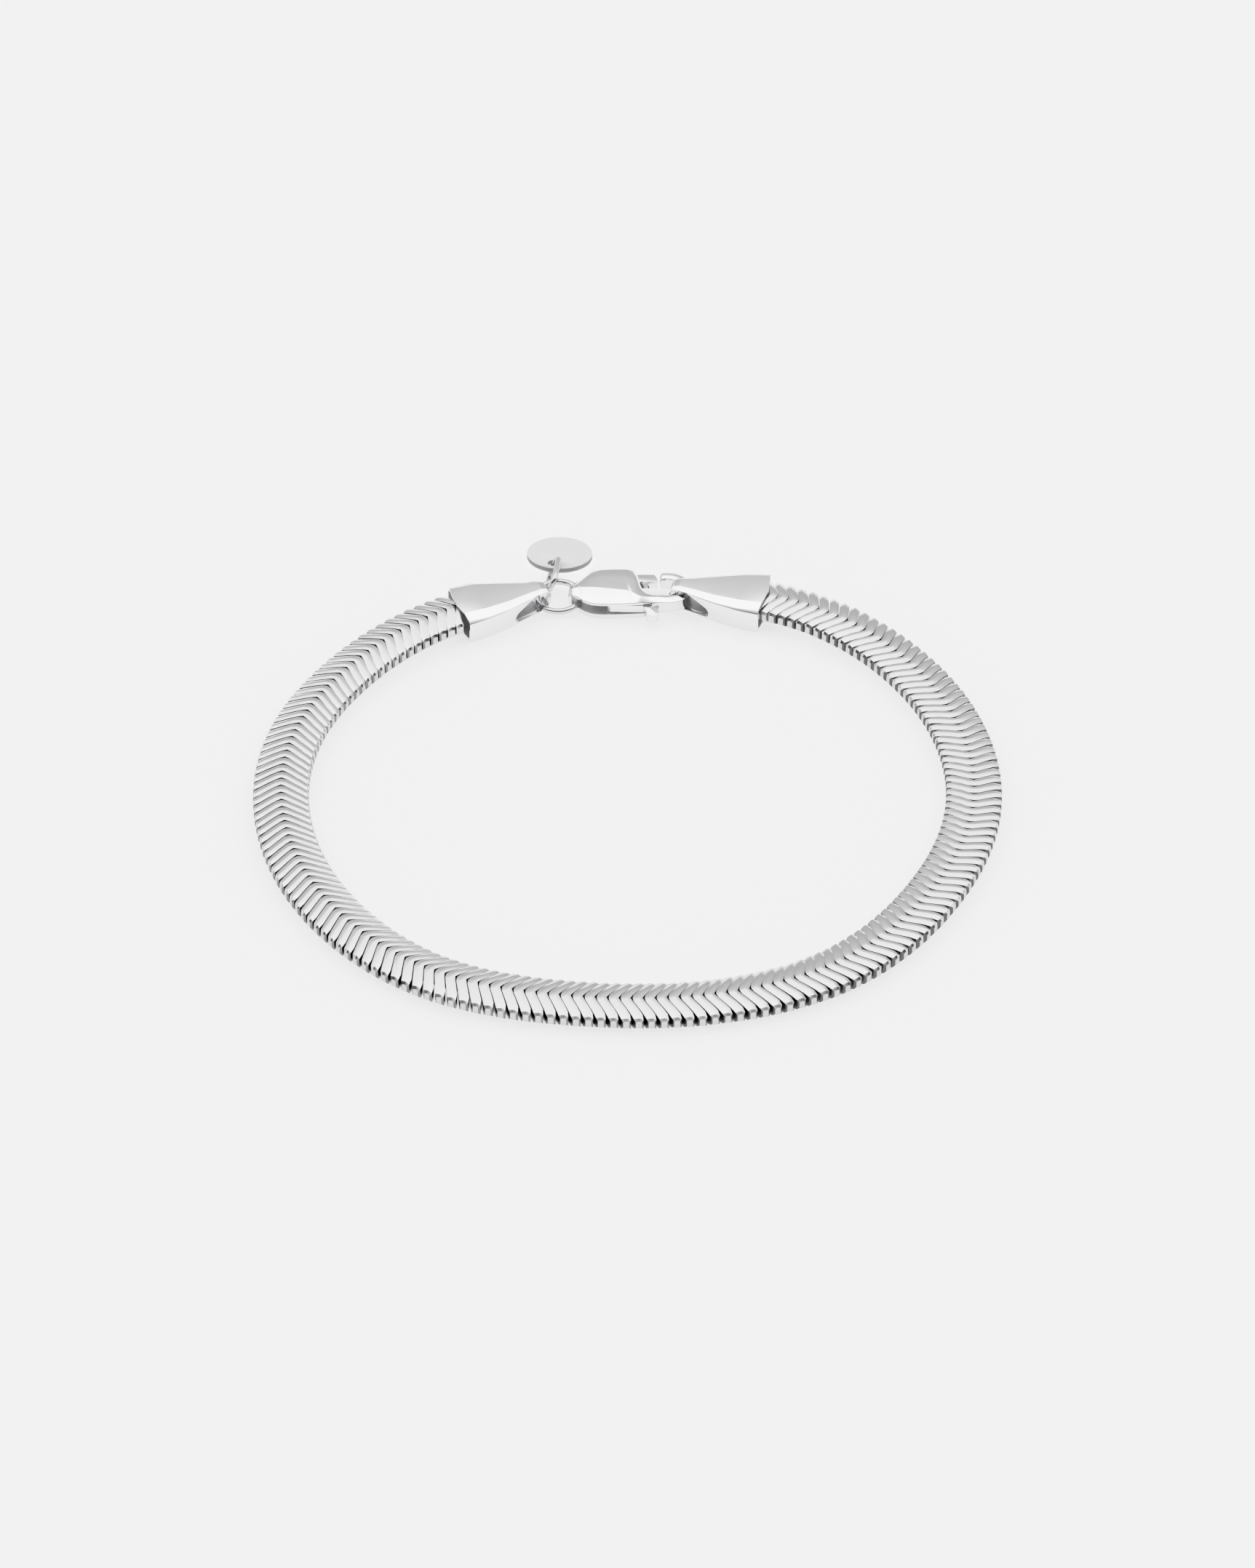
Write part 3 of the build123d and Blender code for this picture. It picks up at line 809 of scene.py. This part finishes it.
# The slot is open at both sides, apart from the wall at the far side
slot = add_block(
    "clasp_slot",
    (SLOT_START, -SLOT_HALF_WIDTH, SLOT_LOW),
    (SLOT_END, SLOT_HALF_WIDTH, SLOT_HIGH),
)
wall = add_block(
    "clasp_wall",
    (FAR_WALL[0], FAR_WALL_INSIDE, 0),
    (FAR_WALL[1], FAR_WALL_OUTSIDE, CLASP_HIGH),
)
cut_away(slot, wall)
cut_away(clasp, slot)
soften(clasp, CLASP_EDGE_ROUND, angle=30, segments=3)
clasp_silver = silver_material("clasp_silver", gloss=0.05, haze=0.14, clouds=600)
slot_silver = silver_material("slot_as_cast", gloss=0.45, haze=0.60, clouds=1500, bump=0.3)
cover(clasp, clasp_silver, slot_silver)
for polygon in clasp.data.polygons:
    where, facing = polygon.center, polygon.normal
    floor = facing.z > 0.9 and abs(where.z - SLOT_LOW) < 0.02 * MM
    ceiling = facing.z < -0.9 and abs(where.z - SLOT_HIGH) < 0.02 * MM
    tail_wall = facing.x > 0.9 and abs(where.x - SLOT_START) < 0.05 * MM
    side_wall = facing.y < -0.9 and abs(where.y - FAR_WALL_INSIDE) < 0.05 * MM
    polygon.material_index = 1 if floor or ceiling or tail_wall or side_wall else 0
put_in_place(clasp, Matrix.Translation(clasp_tail))
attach(clasp, "bracelet")
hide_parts("clasp_body")

# The rivet is hidden between the plates and keeps its plain shape
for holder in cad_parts["clasp_pin"].material_slots:
    holder.material = clasp_silver


# Lever. A flat silver lever that turns on the rivet: the gate that closes the hook on the far
# side, an arm along the near edge, and a thumb knob. It keeps the source's outline, softened.
LEVER_EDGE_ROUND = 0.06 * MM
LEVER_FLATNESS = math.radians(2)
lever = copy_of(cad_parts["clasp_lever"], "lever_gate_and_knob")
select_all_of(lever)
bpy.ops.mesh.remove_doubles(threshold=CASTING_WELD)
bpy.ops.mesh.dissolve_limited(angle_limit=LEVER_FLATNESS)
soften(lever, LEVER_EDGE_ROUND, angle=40)
cover(lever, clasp_silver)
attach(lever, "lever")
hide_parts("clasp_lever")


# Tag and its ring. The tag is a plain disc punched from silver sheet, satin on its faces, with
# painted shade on its cut edge. A stout wire ring, longer than wide, goes through its hole and
# round the jump ring.
TAG_RADIUS = 2.9 * MM
TAG_THICKNESS = 0.5 * MM
TAG_EDGE_ROUND = 0.07 * MM
TAG_HOLE_FROM_MIDDLE = Vector((-0.32, -1.903, 0)) * MM
TAG_HOLE_RADIUS = 0.52 * MM
TAG_SILVER = (1, 1, 1, 1)
TAG_RING_BEND = 0.89 * MM
TAG_RING_TURN = math.radians(-6)
TAG_RING_LEAN = math.radians(24)
TAG_RING_SETTLE = Vector((0.14, 0, 0)) * MM
EDGE_SHADE = 0.42

tag_middle = middle_of("tag")
tag_low, tag_high = (Vector(corner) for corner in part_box("tag"))
tag_ring_middle = middle_of("tag_ring")
tag_ring_low, tag_ring_high = (Vector(corner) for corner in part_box("tag_ring"))
# The tilt follows from how far the tag's box is taller than the sheet
tag_tilt = math.asin((tag_high.z - tag_low.z - TAG_THICKNESS) / (2 * TAG_RADIUS))
ring_reach = (tag_ring_high.y - tag_ring_low.y) / 2 - WIRE_RADIUS
start_piece()
bpy.ops.mesh.primitive_cylinder_add(radius=TAG_RADIUS, depth=TAG_THICKNESS, vertices=128)
tag = bpy.context.object
tag.name = "tag_disc"
start_piece()
bpy.ops.mesh.primitive_cylinder_add(
    radius=TAG_HOLE_RADIUS, depth=3 * TAG_THICKNESS, vertices=40, location=TAG_HOLE_FROM_MIDDLE
)
cut_away(tag, bpy.context.object)
soften(tag, TAG_EDGE_ROUND, angle=50)
# The cut edge is painted in shade, and the faces are left without it
shade = tag.data.attributes.new("painted_shade", "FLOAT", "FACE")
for polygon in tag.data.polygons:
    shade.data[polygon.index].value = EDGE_SHADE if abs(polygon.normal.z) < UPRIGHT else 0.0
put_in_place(
    tag,
    Matrix.Translation(tag_middle)
    @ Matrix.Rotation(TAG_RING_TURN, 4, "Z")
    @ Matrix.Rotation(-tag_tilt, 4, "X"),
)
satin = silver_material(
    "tag_satin_silver", silver=TAG_SILVER, gloss=0.78, haze=0.88, clouds=700, painted_shade="painted_shade"
)
cover(tag, satin)
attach(tag, "bracelet")
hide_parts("tag")

start_piece()
bpy.ops.mesh.primitive_torus_add(
    major_radius=TAG_RING_BEND,
    minor_radius=WIRE_RADIUS,
    major_segments=64,
    minor_segments=24,
    rotation=(0, math.pi / 2, 0),
)
tag_ring = bpy.context.object
tag_ring.name = "tag_ring_wire"
bpy.ops.object.transform_apply(location=True, rotation=True, scale=True)
# The ring is drawn out into two straight runs between its bends
half_run = ring_reach / math.cos(TAG_RING_TURN) - TAG_RING_BEND
for side in (1, -1):
    shift(tag_ring, lambda v: v.y * side > SAME_PLACE, (0, side * half_run, 0))
put_in_place(
    tag_ring,
    Matrix.Translation(tag_ring_middle + TAG_RING_SETTLE)
    @ Matrix.Rotation(TAG_RING_TURN, 4, "Z")
    @ Matrix.Rotation(TAG_RING_LEAN, 4, "Y"),
)
bpy.ops.object.shade_smooth_by_angle(angle=WIRE_SMOOTHING)
cover(tag_ring, ring_silver)
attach(tag_ring, "bracelet")
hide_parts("tag_ring")


# Studio. The floor is one large sheet of pale paper, lit evenly, and the light is a large soft
# tent that is open towards the photographer.
FLOOR_SIZE = 6
FLOOR_DROP = 0.02 * MM
FLOOR_TONE = (0.30, 0.30, 0.30, 1)
FLOOR_GLOW = 0.668
# The tent's brightness over a half turn, from the far side (0) by the top (0.5) to the
# photographer's side (1)
TENT = [
    (0.000, 0.95),
    (0.035, 0.92),
    (0.070, 0.50),
    (0.120, 0.53),
    (0.210, 0.68),
    (0.265, 0.92),
    (0.450, 1.00),
    (0.580, 1.00),
    (0.640, 0.70),
    (0.700, 0.10),
    (0.800, 0.06),
    (0.860, 0.35),
    (0.920, 0.90),
    (1.000, 0.95),
]

bpy.ops.object.select_all(action="DESELECT")
bpy.ops.mesh.primitive_plane_add(size=FLOOR_SIZE, location=(0, 0, -FLOOR_DROP))
floor = bpy.context.object
floor.name = "studio_floor"
floor_paper = bpy.data.materials.new("floor_paper")
floor_paper.use_nodes = True
floor_shader = floor_paper.node_tree.nodes["Principled BSDF"]
floor_shader.inputs["Roughness"].default_value = 0.9
floor_shader.inputs["Specular IOR Level"].default_value = 0.0
floor_shader.inputs["Base Color"].default_value = FLOOR_TONE
floor_shader.inputs["Emission Color"].default_value = (1, 1, 1, 1)
floor_shader.inputs["Emission Strength"].default_value = FLOOR_GLOW
floor.data.materials.append(floor_paper)

tent = bpy.data.worlds.new("light_tent")
bpy.context.scene.world = tent
tent.use_nodes = True
sky_nodes, sky_links = tent.node_tree.nodes, tent.node_tree.links
sky_nodes.clear()
direction = sky_nodes.new("ShaderNodeTexCoord")
parts = sky_nodes.new("ShaderNodeSeparateXYZ")
sky_links.new(direction.outputs["Generated"], parts.inputs["Vector"])
arc = sky_nodes.new("ShaderNodeMath")
arc.operation = "ARCTAN2"
sky_links.new(parts.outputs["Z"], arc.inputs[0])
sky_links.new(parts.outputs["Y"], arc.inputs[1])
share = sky_nodes.new("ShaderNodeMath")
share.operation = "DIVIDE"
share.inputs[1].default_value = math.pi
sky_links.new(arc.outputs["Value"], share.inputs[0])
ramp = sky_nodes.new("ShaderNodeValToRGB")
sky_links.new(share.outputs["Value"], ramp.inputs["Fac"])
while len(ramp.color_ramp.elements) < len(TENT):
    ramp.color_ramp.elements.new(0.5)
for element, (position, level) in zip(ramp.color_ramp.elements, TENT):
    element.position = position
    element.color = (level, level, level, 1)
glow = sky_nodes.new("ShaderNodeBackground")
glow.inputs["Strength"].default_value = 1.0
sky_links.new(ramp.outputs["Color"], glow.inputs["Color"])
sky = sky_nodes.new("ShaderNodeOutputWorld")
sky_links.new(glow.outputs["Background"], sky.inputs["Surface"])
bpy.context.scene.view_settings.view_transform = "Standard"
